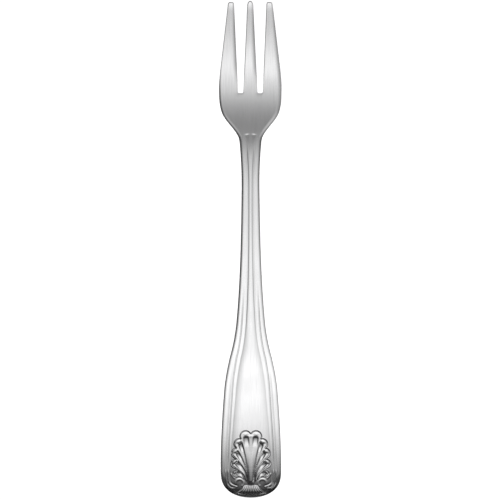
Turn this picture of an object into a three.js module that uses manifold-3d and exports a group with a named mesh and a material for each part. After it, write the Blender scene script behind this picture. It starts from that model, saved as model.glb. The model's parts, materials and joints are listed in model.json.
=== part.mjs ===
// Oyster fork, coined from one piece of stainless steel
// It lies face up: +Y points to the tines, +X across, +Z up from the table.
// Distances along the fork are measured from the tip of the middle tine.
import * as THREE from "three";
import { mergeVertices } from "three/addons/utils/BufferGeometryUtils.js";
import Module from "manifold-3d";

// Driving dimensions in millimetres, tilts in degrees, slopes in millimetres per millimetre

// Lengths along the fork: the head from the tines' tips back, the handle from its end forward
const overallLength = 150;
const tipCurlLength = 3;
const tineLength = 27.6;
const tineStraightAhead = 18.6;
const bowlAhead = 9.9;
const tineBendAhead = 9.6;
const bowlLowAhead = 2.7;
const headWidestAhead = 1.2;
const heelBehind = 6;
const headSteepBehind = 10.4;
const headLength = 12.7;
const neckLength = 1.9;
const neckEaseBehind = 5.8;
const flareFromEnd = 54;
const shoulderFromEnd = 42.4;
const archFromEnd = 38;
const swellFromEnd = 32.6;
const dropFromEnd = 22;
const handleWidestFromEnd = 9;
const turnDownFromEnd = 8.5;

// Shares of the stem's length, from the neck to the flare
const stemThinnestShare = 0.275;
const panelNarrowShare = 0.16;
const panelWidensShare = 0.55;
const beadStartShare = 0.37;
const beadFullShare = 0.89;

// Widths of the outline
const tipSpread = 13.24;
const tineBendWidth = 17.56;
const headWidth = 18.96;
const heelWidth = 17.24;
const neckWidth = 6.66;
const stemWidth = 5.38;
const flareWidth = 8.44;
const shoulderWidth = 12.76;
const swellWidth = 16.04;
const handleWidth = 18.26;
const endFullness = 3.05;

// Slopes of the outline's half width
const tipSlope = 0.12;
const tineBendSlope = 0.115;
const heelSlope = -0.36;
const neckSlope = -0.1;
const stemSlope = 0.012;
const flareSlope = 0.09;
const shoulderSlopeIn = 0.29;
const shoulderSlopeOut = 0.22;
const swellSlope = 0.08;

// Tines and slots
const slotSpacing = 5.9;
const slotWidth = 1.54;
const slotCornerRadius = 0.36;
const middleTipWidth = 1.7;
const middleTipLength = 1.3;
const middleTipFullness = 2;
const outerTipWidth = 1.7;
const outerTipLength = 0.75;
const outerTipFullness = 2.8;
const outerTipSetback = 0.36;

// Thickness of the metal
const tipThickness = 1.1;
const tineRootThickness = 1.9;
const neckThickness = 2.9;
const stemThickness = 3;
const shoulderThickness = 2.2;
const endThickness = 1.9;

// Tilt of the face along its length, rising towards the handle
const tipTilt = -7;
const tipCurlTilt = -12;
const tineTilt = -11.4;
const bowlTilt = -5.5;
const slotTilt = 2.4;
const headTilt = 11.5;
const neckTilt = 7.6;
const stemTilt = 5.2;
const flareTilt = 1.5;
const archTilt = -1.7;
const dropTilt = -5.8;
const turnDownTilt = -12;
const endTilt = -16.5;

// Rolled edges, fuller than a quarter round, and the flats that the fork rests on
const faceEdgeRadius = 0.9;
const faceEdgeFullness = 4;
const backEdgeRadius = 1.5;
const backEdgeFullness = 3;
const restFlatDepth = 0.12;

// Threads: a crowned panel between two grooves, and a border with a bead beside each groove
const ledgeRise = 0.12;
const ledgeRun = 0.25;
const panelNeckWidth = 3.3;
const panelStemWidth = 1.6;
const borderFlareWidth = 2.75;
const borderShoulderWidth = 3.3;
const borderSwellWidth = 3.5;
const borderEndWidth = 2.85;
const panelEdgeSlope = 0.15;
const panelSinkFromEnd = 22;
const grooveDepth = 0.1;
const beadGrooveDepth = 0.05;
const beadHeight = 0.05;
const threadRunOut = 6;

// Shell: places are [across from the middle line, up from the end of the handle]
const petalCrest = 0.32;
const petalFloor = 0.08;
const petalRootRise = 0.2;
const petals = [
  { tip: [1.55, 18.85], radius: 1.8, bend: [0.95, 13.2], root: [0.5, 5.6], rootRadius: 0.5, inner: 0.24 },
  { tip: [3.35, 16.5], radius: 1.75, bend: [1.65, 12], root: [0.9, 5.6], rootRadius: 0.32, inner: 0.07 },
  { tip: [4.2, 13.7], radius: 1.68, bend: [1.65, 9.9], root: [1.1, 5.4], rootRadius: 0.3, inner: 0.06 },
  { tip: [4.55, 10.55], radius: 1.48, bend: [1.75, 7.9], root: [1.4, 4.9], rootRadius: 0.28, inner: 0.06 },
  { tip: [4.75, 7.6], radius: 1.22, bend: [2.7, 6.9], root: [1.8, 5.2], rootRadius: 0.26, inner: 0.06 },
];
const hollowUp = 5;
const hollowWidth = 3.5;
const hollowLength = 2.1;
const hollowDepth = 0.25;

// Scrolls beside the shell and the tassel below it
const scrollAcross = 3.45;
const scrollUp = 4.5;
const scrollRadius = 1.22;
const scrollHalfWidth = 0.32;
const scrollHeight = 0.3;
const tasselRays = 9;
const tasselTopWidth = 3.76;
const tasselFootWidth = 7.28;
const tasselTopUp = 3.85;
const tasselFootUp = 1.2;
const tasselFootBow = 0.4;
const rayHalfWidth = 0.2;
const rayHeight = 0.2;

// Thread ends that run into the scrolls: places are [in from the widest edge, up from the end]
const innerThread = [[2.18, 9.5], [2.28, 7], [2.68, 4.9], [3.52, 4], [4.39, 3.76], [4.99, 3.4]];
const outerThread = [[1.43, 9.5], [1.43, 7], [1.88, 4.6], [2.8, 3.52], [3.64, 3.05], [4.43, 3.2]];
const threadHalfWidth = 0.24;
const threadHeight = 0.16;

const wasm = await Module();
wasm.setup();

const smoothStep = THREE.MathUtils.smoothstep;
const lerp = THREE.MathUtils.lerp;

// A smooth curve through knots of [place, value], with the slope in and out where they are given
function curveThrough(knots) {
  const secant = knots.slice(1).map((k, i) => (k[1] - knots[i][1]) / (k[0] - knots[i][0]));
  const natural = (i) => {
    const before = secant[Math.max(i - 1, 0)];
    const after = secant[Math.min(i, secant.length - 1)];
    return before * after > 0 ? (2 * before * after) / (before + after) : 0;
  };
  return (place) => {
    const at = THREE.MathUtils.clamp(place, knots[0][0], knots.at(-1)[0]);
    const i = Math.max(0, knots.findLastIndex((k) => k[0] <= at && k !== knots.at(-1)));
    const [from, to] = [knots[i], knots[i + 1]];
    const span = to[0] - from[0];
    const t = (at - from[0]) / span;
    const slopeOut = from[3] ?? from[2] ?? natural(i);
    const slopeIn = to[2] ?? natural(i + 1);
    const back = 1 - t;
    return from[1] * (1 + 2 * t) * back * back + to[1] * (3 - 2 * t) * t * t
      + span * t * back * (slopeOut * back - slopeIn * t);
  };
}

// Stations, measured from the tip of the middle tine
const ledgeAt = tineLength + headLength;
const neckAt = ledgeAt + neckLength;
const flareAt = overallLength - flareFromEnd;
const shoulderAt = overallLength - shoulderFromEnd;
const swellAt = overallLength - swellFromEnd;
const handleWidestAt = overallLength - handleWidestFromEnd;
const alongStem = (share) => lerp(neckAt, flareAt, share);
const stemThinnestAt = alongStem(stemThinnestShare);

// Plan of the blank
const sideOutline = curveThrough([
  [0, tipSpread / 2, tipSlope],
  [tineLength - tineBendAhead, tineBendWidth / 2, tineBendSlope],
  [tineLength - headWidestAhead, headWidth / 2, 0],
  [tineLength + heelBehind, heelWidth / 2, heelSlope],
  [neckAt, neckWidth / 2, neckSlope],
  [stemThinnestAt, stemWidth / 2, stemSlope],
  [flareAt, flareWidth / 2, flareSlope],
  [shoulderAt, shoulderWidth / 2, shoulderSlopeIn, shoulderSlopeOut],
  [swellAt, swellWidth / 2, swellSlope],
  [handleWidestAt, handleWidth / 2, 0],
]);

function halfWidth(at) {
  const past = Math.max(0, at - handleWidestAt) / (overallLength - handleWidestAt);
  return sideOutline(at) * Math.sqrt(Math.max(0, 1 - past ** endFullness));
}

// The slots widen from their floor to the tips, and round corners close them at the floor
function slotWall(at, atFloor, atTip) {
  const depth = tineLength - at;
  const straight = Math.max(0, depth - slotCornerRadius) / (tineLength - slotCornerRadius);
  return lerp(atFloor, atTip, straight);
}

function slotCorner(at) {
  const short = THREE.MathUtils.clamp(slotCornerRadius - (tineLength - at), 0, slotCornerRadius);
  return slotCornerRadius - Math.sqrt(slotCornerRadius ** 2 - short ** 2);
}

function slotInner(at) {
  return slotWall(at, (slotSpacing - slotWidth) / 2, middleTipWidth / 2) + slotCorner(at);
}

function slotOuter(at) {
  return slotWall(at, (slotSpacing + slotWidth) / 2, tipSpread / 2 - outerTipWidth) - slotCorner(at);
}

// Side view: the tilt is summed into the height of the face, then levelled so that head and handle end both touch
// the table; the middle of the metal lies half a thickness below the face
const thickness = curveThrough([
  [0, tipThickness],
  [tineLength, tineRootThickness],
  [neckAt, neckThickness],
  [stemThinnestAt, stemThickness],
  [shoulderAt, shoulderThickness],
  [overallLength, endThickness],
]);
const tilt = curveThrough([
  [0, tipTilt],
  [tipCurlLength, tipCurlTilt],
  [tineLength - tineStraightAhead, tineTilt],
  [tineLength - bowlAhead, bowlTilt],
  [tineLength - bowlLowAhead, slotTilt],
  [tineLength + headSteepBehind, headTilt],
  [neckAt + neckEaseBehind, neckTilt],
  [stemThinnestAt, stemTilt],
  [flareAt, flareTilt],
  [overallLength - archFromEnd, archTilt],
  [overallLength - dropFromEnd, dropTilt],
  [overallLength - turnDownFromEnd, turnDownTilt],
  [overallLength, endTilt],
]);
const profileStep = 0.25;
const profile = [0];
for (let at = profileStep / 2; at < overallLength; at += profileStep) {
  profile.push(profile.at(-1) + profileStep * Math.tan(THREE.MathUtils.degToRad(tilt(at))));
}

function rawHeight(at) {
  const i = Math.min(Math.floor(at / profileStep), profile.length - 2);
  return lerp(profile[i], profile[i + 1], at / profileStep - i);
}

// A rolled edge rises from the middle of the thickness in a quarter of a full oval
function edgeRise(distance, radius, fullness) {
  const short = Math.max(0, 1 - distance / radius);
  return (1 - short ** fullness) ** (1 / fullness);
}

const backRise = (distance) => edgeRise(distance, backEdgeRadius, backEdgeFullness);

function lowestPoint(from, to, lean) {
  let best = { at: from, z: Infinity };
  for (let at = from; at <= to; at += profileStep / 5) {
    const drop = (thickness(at) / 2) * (1 + backRise(overallLength - at));
    const z = rawHeight(at) - drop;
    best = z - lean * at < best.z - lean * best.at ? { at, z } : best;
  }
  return best;
}

let lean = 0;
let headRest = lowestPoint(0, neckAt, lean);
let handleRest = lowestPoint(shoulderAt, overallLength, lean);
for (let pass = 0; pass < 8; pass += 1) {
  lean = (handleRest.z - headRest.z) / (handleRest.at - headRest.at);
  headRest = lowestPoint(0, neckAt, lean);
  handleRest = lowestPoint(shoulderAt, overallLength, lean);
}
const tableHeight = headRest.z - lean * headRest.at + restFlatDepth;
const midHeight = (at) => rawHeight(at) - lean * at - tableHeight - thickness(at) / 2;

// Rows of plan points run across the blank; each row keeps a key for stitching it to its neighbours
const blockShares = [0, 0.04, 0.14, 0.32, 0.5, 0.68, 0.86, 0.96, 1];
const borderShares = [0, 0.04, 0.12, 0.28, 0.5, 0.6, 0.75, 0.92, 1];
const panelShares = [-0.85, -0.5, 0, 0.5, 0.85];
const backShares = [0, 0.06, 0.2, 0.5];

function block(left, right, shares, keyLeft, keyRight) {
  return shares.map((share) => ({ x: lerp(left, right, share), key: lerp(keyLeft, keyRight, share) }));
}

// A tine's tip closes in a rounded end
function tineRow(at, left, right, tipAt, tipLength, fullness, keys) {
  const left0 = left(at);
  const right0 = right(at);
  const short = THREE.MathUtils.clamp(1 - (at - tipAt) / tipLength, 0, 1);
  const half = ((right0 - left0) / 2) * (1 - short ** fullness) ** (1 / fullness);
  const middle = (left0 + right0) / 2;
  const shares = half > 0 ? blockShares : [0];
  const points = block(middle - half, middle + half, shares, ...keys);
  points[0].rim = true;
  points.at(-1).rim = true;
  return { at, top: points, back: points };
}

const blockKeys = { left: [0, 0.3], middle: [0.4, 0.6], right: [0.7, 1] };

function headRow(at) {
  const scale = halfWidth(at) / halfWidth(tineLength);
  const inner = slotInner(tineLength) * scale;
  const outer = slotOuter(tineLength) * scale;
  const edge = halfWidth(at);
  const slotFloor = at === tineLength;
  const points = [
    ...block(-edge, -outer, blockShares, ...blockKeys.left),
    { x: -(inner + outer) / 2, key: 0.35, rim: slotFloor },
    ...block(-inner, inner, blockShares, ...blockKeys.middle),
    { x: (inner + outer) / 2, key: 0.65, rim: slotFloor },
    ...block(outer, edge, blockShares, ...blockKeys.right),
  ];
  points[0].rim = true;
  points.at(-1).rim = true;
  if (slotFloor) {
    const share = blockShares.length;
    for (const corner of [share - 1, share + 1, 2 * share, 2 * share + 2]) {
      points[corner].rim = true;
    }
  }
  return { at, top: points, back: points };
}

const panelHalf = curveThrough([
  [ledgeAt, panelNeckWidth / 2],
  [alongStem(panelNarrowShare), panelStemWidth / 2],
  [alongStem(panelWidensShare), panelStemWidth / 2],
  [flareAt, flareWidth / 2 - borderFlareWidth],
  [shoulderAt, shoulderWidth / 2 - borderShoulderWidth],
  [swellAt, swellWidth / 2 - borderSwellWidth],
  [handleWidestAt, handleWidth / 2 - borderEndWidth],
]);
const borderWidth = (at) => (sideOutline(at) - panelHalf(at)) * (halfWidth(at) / sideOutline(at));

function handleRow(at) {
  const edge = halfWidth(at);
  const border = borderWidth(at);
  const panel = edge - border;
  if (edge === 0) {
    const end = [{ x: 0, key: 0, rim: true }];
    return { at, top: end, back: end };
  }
  const across = (shares) => [
    ...shares.map((share) => ({ x: -edge + border * share, key: share })),
    ...panelShares.map((share) => ({ x: panel * share, key: 2 + share })),
    ...shares.toReversed().map((share) => ({ x: edge - border * share, key: 4 - share })),
  ];
  const row = { at, top: across(borderShares), back: across(backShares) };
  for (const side of [row.top, row.back]) {
    side[0].rim = true;
    side.at(-1).rim = true;
  }
  return row;
}

// Heights of the face and the back over the plan
const beadStartAt = alongStem(beadStartShare);
const beadFullAt = alongStem(beadFullShare);
const threadsEndAt = handleWidestAt + threadRunOut / 2;
const beadSection = curveThrough([[0.5, 0], [0.6, -beadGrooveDepth], [0.75, beadHeight], [0.85, 0]]);
const grooveSection = curveThrough([[0.78, 0], [0.92, -grooveDepth], [1, 0]]);

function faceRelief(x, at) {
  if (at <= ledgeAt) {
    return 0;
  }
  const edge = halfWidth(at);
  const border = borderWidth(at);
  const panel = edge - border;
  const share = border > 0 ? (edge - Math.abs(x)) / border : 0;
  const across = Math.min(1, Math.abs(x) / panel);
  const fade = 1 - smoothStep(at, threadsEndAt - threadRunOut, threadsEndAt);
  const bead = beadSection(share) * smoothStep(at, beadStartAt, beadFullAt) * fade;
  const groove = grooveSection(share) * fade;
  const sink = 1 - smoothStep(at, overallLength - panelSinkFromEnd, overallLength);
  const crown = panel > 0 ? (panelEdgeSlope * panel / 2) * (1 - across * across) * sink : 0;
  const ledge = ledgeRise * (1 - smoothStep(at, ledgeAt, stemThinnestAt));
  return ledge + bead + groove + crown;
}

const rimSegments = [];

function edgeDistance(x, at) {
  let nearest = Infinity;
  for (const [ax, aat, dx, dat, length2] of rimSegments) {
    const t = THREE.MathUtils.clamp(((x - ax) * dx + (at - aat) * dat) / length2, 0, 1);
    nearest = Math.min(nearest, Math.hypot(x - ax - t * dx, at - aat - t * dat));
  }
  return nearest;
}

function faceHeight(x, at) {
  const rise = edgeRise(edgeDistance(x, at), faceEdgeRadius, faceEdgeFullness);
  return midHeight(at) + rise * (thickness(at) / 2 + faceRelief(x, at));
}

function backHeight(x, at) {
  return Math.max(0, midHeight(at) - (backRise(edgeDistance(x, at)) * thickness(at)) / 2);
}

// Strips of rows: one for each tine, and the body from the slots' floor to the end of the handle
function spread(from, to, count) {
  return Array.from({ length: count }, (_, i) => lerp(from, to, (i + 1) / count));
}

const tipShares = [0, 0.05, 0.2, 0.45, 0.75, 1];
const cornerShares = [0.5, 0.13, 0];
const webSteps = [0, 0.1, 0.3, 0.8, 1.8];
const rowCount = { tine: 9, head: 9, neck: 6, stem: 9, flare: 6, shoulder: 5, handle: 11, end: 12 };

function tineStrip(left, right, tipAt, tipLength, fullness, keys) {
  const stations = [
    ...tipShares.map((share) => tipAt + tipLength * share),
    ...spread(tipAt + tipLength, tineLength - slotCornerRadius, rowCount.tine),
    ...cornerShares.map((share) => tineLength - slotCornerRadius * share),
  ];
  return stations.map((at) => tineRow(at, left, right, tipAt, tipLength, fullness, keys));
}

const outerTip = [outerTipSetback, outerTipLength, outerTipFullness];
const webStations = webSteps.map((past) => tineLength + past);
const headStations = [...webStations, ...spread(webStations.at(-1), ledgeAt, rowCount.head)];
const endStations = spread(0, Math.PI / 2, rowCount.end).map(
  (turn) => lerp(handleWidestAt, overallLength, Math.sin(turn)),
);
const handleStations = [
  ledgeAt + ledgeRun,
  ...spread(ledgeAt + ledgeRun, stemThinnestAt, rowCount.neck),
  ...spread(stemThinnestAt, flareAt, rowCount.stem),
  ...spread(flareAt, shoulderAt, rowCount.flare),
  ...spread(shoulderAt, swellAt, rowCount.shoulder),
  ...spread(swellAt, handleWidestAt, rowCount.handle),
  ...endStations,
];
const strips = [
  tineStrip((at) => -halfWidth(at), (at) => -slotOuter(at), ...outerTip, blockKeys.left),
  tineStrip((at) => -slotInner(at), slotInner, 0, middleTipLength, middleTipFullness, blockKeys.middle),
  tineStrip(slotOuter, halfWidth, ...outerTip, blockKeys.right),
  [...headStations.map(headRow), ...handleStations.map(handleRow)],
];

function addRim(ax, aat, bx, bat) {
  const length2 = (bx - ax) ** 2 + (bat - aat) ** 2;
  if (length2 > 0) {
    rimSegments.push([ax, aat, bx - ax, bat - aat, length2]);
  }
}

for (const strip of strips) {
  strip.slice(1).forEach((row, i) => {
    const last = strip[i];
    addRim(last.top[0].x, last.at, row.top[0].x, row.at);
    addRim(last.top.at(-1).x, last.at, row.top.at(-1).x, row.at);
  });
}
for (const side of [-1, 1]) {
  addRim(side * slotInner(tineLength), tineLength, side * slotOuter(tineLength), tineLength);
}

// The blank: face and back are stitched row by row and share the points of the rim
function blankSolid() {
  const positions = [];
  const triangles = [];
  const known = new Map();
  const heights = { top: faceHeight, back: backHeight, rim: (x, at) => midHeight(at) };
  const index = (point, at, side) => {
    const skin = point.rim ? "rim" : side;
    const name = [skin, point.x.toFixed(5), at.toFixed(5)].join();
    if (!known.has(name)) {
      known.set(name, positions.length / 3);
      positions.push(point.x, overallLength / 2 - at, heights[skin](point.x, at));
    }
    return known.get(name);
  };
  const addTriangle = (a, b, c, side) => {
    if (a !== b && b !== c && c !== a) {
      triangles.push(...(side === "top" ? [a, b, c] : [a, c, b]));
    }
  };
  const stitch = (front, rear, side) => {
    const [a, b] = [front[side], rear[side]];
    const sameKeys = a.length === 1 || b.length === 1 || front.at > ledgeAt || rear.at <= ledgeAt;
    const place = (points, i) => (sameKeys ? points[i].key : points[i].x / points.at(-1).x);
    const [ia, ib] = [a.map((p) => index(p, front.at, side)), b.map((p) => index(p, rear.at, side))];
    let [i, j] = [0, 0];
    while (i < a.length - 1 || j < b.length - 1) {
      const moveFront = j === b.length - 1 || (i < a.length - 1 && place(a, i + 1) <= place(b, j + 1));
      const next = moveFront ? ia[i + 1] : ib[j + 1];
      addTriangle(ia[i], ib[j], next, side);
      [i, j] = moveFront ? [i + 1, j] : [i, j + 1];
    }
  };
  for (const strip of strips) {
    strip.slice(1).forEach((row, i) => {
      stitch(strip[i], row, "top");
      stitch(strip[i], row, "back");
    });
  }
  return toSolid(positions, triangles);
}

function toSolid(positions, triangles) {
  const vertProperties = new Float32Array(positions);
  const triVerts = new Uint32Array(triangles);
  return new wasm.Manifold(new wasm.Mesh({ numProp: 3, vertProperties, triVerts }));
}

function toGeometry(solid) {
  const { vertProperties, triVerts } = solid.getMesh();
  const geometry = new THREE.BufferGeometry();
  geometry.setAttribute("position", new THREE.BufferAttribute(vertProperties, 3));
  geometry.setIndex(new THREE.BufferAttribute(triVerts, 1));
  return mergeVertices(geometry, 1e-4);
}

// The shell, the scrolls and their threads are lofts that stand on the face of the handle
const bury = 0.6;
const footDepth = 0.06;
const point = ([across, up]) => new THREE.Vector2(across, up);

function loft(rings) {
  const count = rings[0].length;
  const positions = rings.flat().flat();
  const triangles = [];
  const corner = (ring, i) => ring * count + (i % count);
  for (let ring = 0; ring + 1 < rings.length; ring += 1) {
    for (let i = 0; i < count; i += 1) {
      triangles.push(corner(ring, i), corner(ring, i + 1), corner(ring + 1, i + 1));
      triangles.push(corner(ring, i), corner(ring + 1, i + 1), corner(ring + 1, i));
    }
  }
  const last = rings.length - 1;
  for (let i = 1; i + 1 < count; i += 1) {
    triangles.push(corner(0, 0), corner(0, i + 1), corner(0, i));
    triangles.push(corner(last, 0), corner(last, i), corner(last, i + 1));
  }
  return toSolid(positions, triangles);
}

// One ring across a path on the face; a section gives the height at each share of the half width
function ringOnFace(side, centre, along, half, shares, height) {
  const out = new THREE.Vector2(along.y, -along.x);
  const place = (share, lift) => {
    const x = side * (centre.x + out.x * half * share);
    const up = centre.y + out.y * half * share;
    return [x, up - overallLength / 2, faceHeight(x, overallLength - up) + lift];
  };
  const face = shares.map((share) => place(share, height(share)));
  const buried = [place(shares.at(-1), -bury), place(shares[0], -bury)];
  const ring = [...face, ...buried];
  return side > 0 ? ring : ring.toReversed();
}

// A petal is a flute: it rises from its floor to a crest along the outer side and round the tip,
// and its inner side runs under the petal above it
const petalSection = [-1, -0.84, -0.55, -0.2, 0.2, 0.55, 0.84, 1];
const crestShare = 0.84;
const petalTaper = 1.2;
const petalFloorShare = 0.6;
const petalSteps = 7;
const tipTurns = [0.25, 0.5, 0.72, 0.92];

function crestRise(share, floor) {
  const out = Math.min(1, share / crestShare);
  const past = Math.max(0, share - crestShare) / (1 - crestShare);
  return lerp(lerp(floor, petalCrest, out ** 3), -footDepth, past);
}

function petal(side, { tip, radius, bend, root, rootRadius, inner }) {
  const axis = new THREE.QuadraticBezierCurve(point(root), point(bend), point(tip));
  const rings = [0, ...spread(0, 1, petalSteps)].map((t) => {
    const half = lerp(rootRadius, radius, t ** petalTaper);
    const floor = lerp(petalRootRise, petalFloor, smoothStep(t, 0, petalFloorShare));
    const height = (share) => (share < 0 ? lerp(floor, inner, -share) : crestRise(share, floor));
    return ringOnFace(side, axis.getPoint(t), axis.getTangent(t), half, petalSection, height);
  });
  const along = axis.getTangent(1);
  for (const turn of tipTurns) {
    const ahead = Math.sin((Math.PI / 2) * turn);
    const half = Math.cos((Math.PI / 2) * turn);
    const centre = point(tip).addScaledVector(along, radius * ahead);
    const height = (share) => {
      const rise = crestRise(Math.hypot(share * half, ahead), petalFloor);
      const inward = Math.atan2(-share * half, ahead);
      return lerp(rise, Math.min(rise, inner), smoothStep(inward, Math.PI / 6, Math.PI / 2.6));
    };
    rings.push(ringOnFace(side, centre, along, radius * half, petalSection, height));
  }
  return loft(rings);
}

// A rounded ridge along a path, running out at its ends
const ridgeSection = [-1, -0.6, 0, 0.6, 1];
const ridgeRunOut = 0.12;
const ridgeEndWidth = 0.5;

function ridge(side, path, halfWide, rise, steps) {
  const rings = [0, ...spread(0, 1, steps)].map((t) => {
    const full = smoothStep(Math.min(t, 1 - t), -ridgeRunOut / 2, ridgeRunOut);
    const half = halfWide * lerp(ridgeEndWidth, 1, full);
    const height = (share) => lerp(-footDepth, rise * full, 1 - share * share);
    return ringOnFace(side, path.getPoint(t), path.getTangent(t), half, ridgeSection, height);
  });
  return loft(rings);
}

const scrollSteps = 11;
const threadSteps = 10;
const raySteps = 3;
const scrollOuterEnd = 0.1;
const scrollInnerEnd = Math.PI + 0.65;

function scroll(side) {
  const arc = [scrollRadius, scrollRadius, scrollOuterEnd, scrollInnerEnd];
  const path = new THREE.EllipseCurve(scrollAcross, scrollUp, ...arc);
  return ridge(side, path, scrollHalfWidth, scrollHeight, scrollSteps);
}

function threadEnd(side, places) {
  const path = new THREE.SplineCurve(places.map(([inset, up]) => point([handleWidth / 2 - inset, up])));
  return ridge(side, path, threadHalfWidth, threadHeight, threadSteps);
}

function tasselRay(share) {
  const top = point([(share * tasselTopWidth) / 2, tasselTopUp]);
  const foot = point([(share * tasselFootWidth) / 2, tasselFootUp + tasselFootBow * share * share]);
  return ridge(1, new THREE.LineCurve(foot, top), rayHalfWidth, rayHeight, raySteps);
}

// The hollow between the shell's root and the tassel
const hollowFacets = [18, 10];

function hollow() {
  const ball = new THREE.SphereGeometry(1, ...hollowFacets);
  ball.deleteAttribute("normal");
  ball.deleteAttribute("uv");
  const at = overallLength - hollowUp;
  ball.scale(hollowWidth / 2, hollowLength / 2, hollowDepth * 2);
  ball.rotateX(-THREE.MathUtils.degToRad(tilt(at)));
  ball.translate(0, hollowUp - overallLength / 2, faceHeight(0, at) + hollowDepth);
  const closed = mergeVertices(ball);
  return toSolid(closed.attributes.position.array, closed.index.array);
}

const steel = new THREE.MeshStandardMaterial({ color: 0xc8c9cb, roughness: 0.2, metalness: 1 });
let solid = blankSolid();
for (const side of [-1, 1]) {
  const raised = [
    ...petals.map((shape) => petal(side, shape)),
    scroll(side),
    threadEnd(side, innerThread),
    threadEnd(side, outerThread),
  ];
  solid = raised.reduce((whole, piece) => whole.add(piece), solid);
}
solid = solid.subtract(hollow());
for (let ray = 0; ray < tasselRays; ray += 1) {
  solid = solid.add(tasselRay((2 * ray) / (tasselRays - 1) - 1));
}
const forkMesh = new THREE.Mesh(toGeometry(solid), steel);
forkMesh.name = "fork";
const fork = new THREE.Group();
fork.name = "oyster_fork";
fork.add(forkMesh);

export default fork;
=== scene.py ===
# %% [markdown]
# # An oyster fork in polished steel
# The real fork is one strip of stainless steel. It is cut to its outline, rolled thin at the tines, bent
# into a long low arch, and then struck in a die that raises the threads along its edges and the shell at
# the end of its handle. This lesson follows the same order: outline, arch, threads, shell, polish.
# The measured CAD fork is loaded first, because every size here has to agree with it. Lengths in this
# lesson are in millimetres, and the finished fork is scaled to metres at the end.

# %% Load the frame
import json
import math

import bmesh
import bpy
import numpy as np
from mathutils import Matrix, Vector
from mathutils.kdtree import KDTree

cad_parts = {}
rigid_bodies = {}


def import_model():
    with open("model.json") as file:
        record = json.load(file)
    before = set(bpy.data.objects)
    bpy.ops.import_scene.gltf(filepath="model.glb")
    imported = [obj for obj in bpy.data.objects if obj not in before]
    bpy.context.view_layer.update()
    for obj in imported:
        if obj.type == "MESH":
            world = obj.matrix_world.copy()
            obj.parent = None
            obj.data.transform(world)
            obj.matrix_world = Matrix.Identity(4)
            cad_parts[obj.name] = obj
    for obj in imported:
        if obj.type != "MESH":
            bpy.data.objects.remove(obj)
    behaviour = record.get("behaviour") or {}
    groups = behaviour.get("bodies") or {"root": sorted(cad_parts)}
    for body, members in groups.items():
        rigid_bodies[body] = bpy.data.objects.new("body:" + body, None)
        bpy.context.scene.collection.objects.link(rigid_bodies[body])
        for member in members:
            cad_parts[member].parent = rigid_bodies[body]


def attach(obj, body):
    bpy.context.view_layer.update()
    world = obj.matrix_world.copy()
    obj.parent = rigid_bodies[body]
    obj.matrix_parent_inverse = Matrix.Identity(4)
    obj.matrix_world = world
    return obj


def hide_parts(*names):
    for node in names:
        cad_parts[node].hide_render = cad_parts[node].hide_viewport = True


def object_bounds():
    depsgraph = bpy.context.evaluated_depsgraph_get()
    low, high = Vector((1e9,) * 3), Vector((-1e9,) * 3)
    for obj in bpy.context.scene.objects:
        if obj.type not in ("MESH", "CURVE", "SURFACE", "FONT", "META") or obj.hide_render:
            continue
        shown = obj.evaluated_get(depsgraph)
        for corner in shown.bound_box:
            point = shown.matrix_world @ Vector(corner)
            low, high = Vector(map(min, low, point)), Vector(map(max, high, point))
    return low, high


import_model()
cad_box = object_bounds()
MM = 0.001
fork_length = (cad_box[1].y - cad_box[0].y) / MM
print(f"the CAD fork is {fork_length:.2f} mm long and {cad_box[1].z / MM:.2f} mm high")

# %% [markdown]
# ## Camera
# The fork is seen straight from above, with its tines at the top of the picture. A long lens a good way
# off keeps the tines and the handle at one scale, as a studio camera does with small flat things.

# %% Camera above the fork
picture_pixels = 500
pixel_width = 0.3021 * MM
sensor_width = 36.0
camera_lens = 200.0
picture_middle = Vector((250.6, 249.75))
fork_lean = math.radians(-0.08)
face_height = 2.5 * MM

bpy.ops.object.select_all(action="DESELECT")
picture_width = picture_pixels * pixel_width
camera_height = face_height + picture_width * camera_lens / sensor_width
off_middle = picture_middle - Vector((picture_pixels / 2, picture_pixels / 2))
bpy.ops.object.camera_add(
    location=(-off_middle.x * pixel_width, off_middle.y * pixel_width, camera_height),
    rotation=(0, 0, fork_lean),
)
camera = bpy.context.object
camera.name = "camera_above"
camera.data.sensor_width = sensor_width
camera.data.lens = camera_lens
bpy.context.scene.camera = camera
bpy.context.scene.view_settings.view_transform = "Standard"
print(f"camera {camera_height:.3f} m up, {picture_width / MM:.1f} mm across the picture")

# %% [markdown]
# ## Outline
# Half the width of the fork at any distance from the tip of its middle tine is one smooth curve through
# a few knots: tips, tine bend, widest head, heel, neck, thin stem, flare, shoulder, swell, widest handle.
# A knot is (distance, half width, slope before, slope after), and a slope that is left out is worked
# out from its neighbours. Curves like this keep polished metal free of kinks, which a mirror would show.

# %% Curves through knots


def curve_through(knots):
    place = np.array([knot[0] for knot in knots], float)
    value = np.array([knot[1] for knot in knots], float)
    chord = np.diff(value) / np.diff(place)
    rise = np.concatenate([chord[:1], chord[1:], chord[-1:]])
    for i in range(1, len(knots) - 1):
        before, after = chord[i - 1], chord[i]
        rise[i] = 2 * before * after / (before + after) if before * after > 0 else 0
    slope_in = np.array([knot[2] if len(knot) > 2 else rise[i] for i, knot in enumerate(knots)])
    slope_out = np.array([knot[3] if len(knot) > 3 else slope_in[i] for i, knot in enumerate(knots)])

    def curve(at):
        at = np.clip(at, place[0], place[-1])
        i = np.clip(np.searchsorted(place, at, side="right") - 1, 0, len(place) - 2)
        span = place[i + 1] - place[i]
        t = (at - place[i]) / span
        ends = value[i] * (1 + 2 * t) * (1 - t) ** 2 + value[i + 1] * (3 - 2 * t) * t**2
        return ends + span * t * (1 - t) * (slope_out[i] * (1 - t) - slope_in[i + 1] * t)

    return curve


print("halfway between the knots (0, 0) and (2, 1):", float(curve_through([(0, 0), (2, 1)])(1)))

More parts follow.
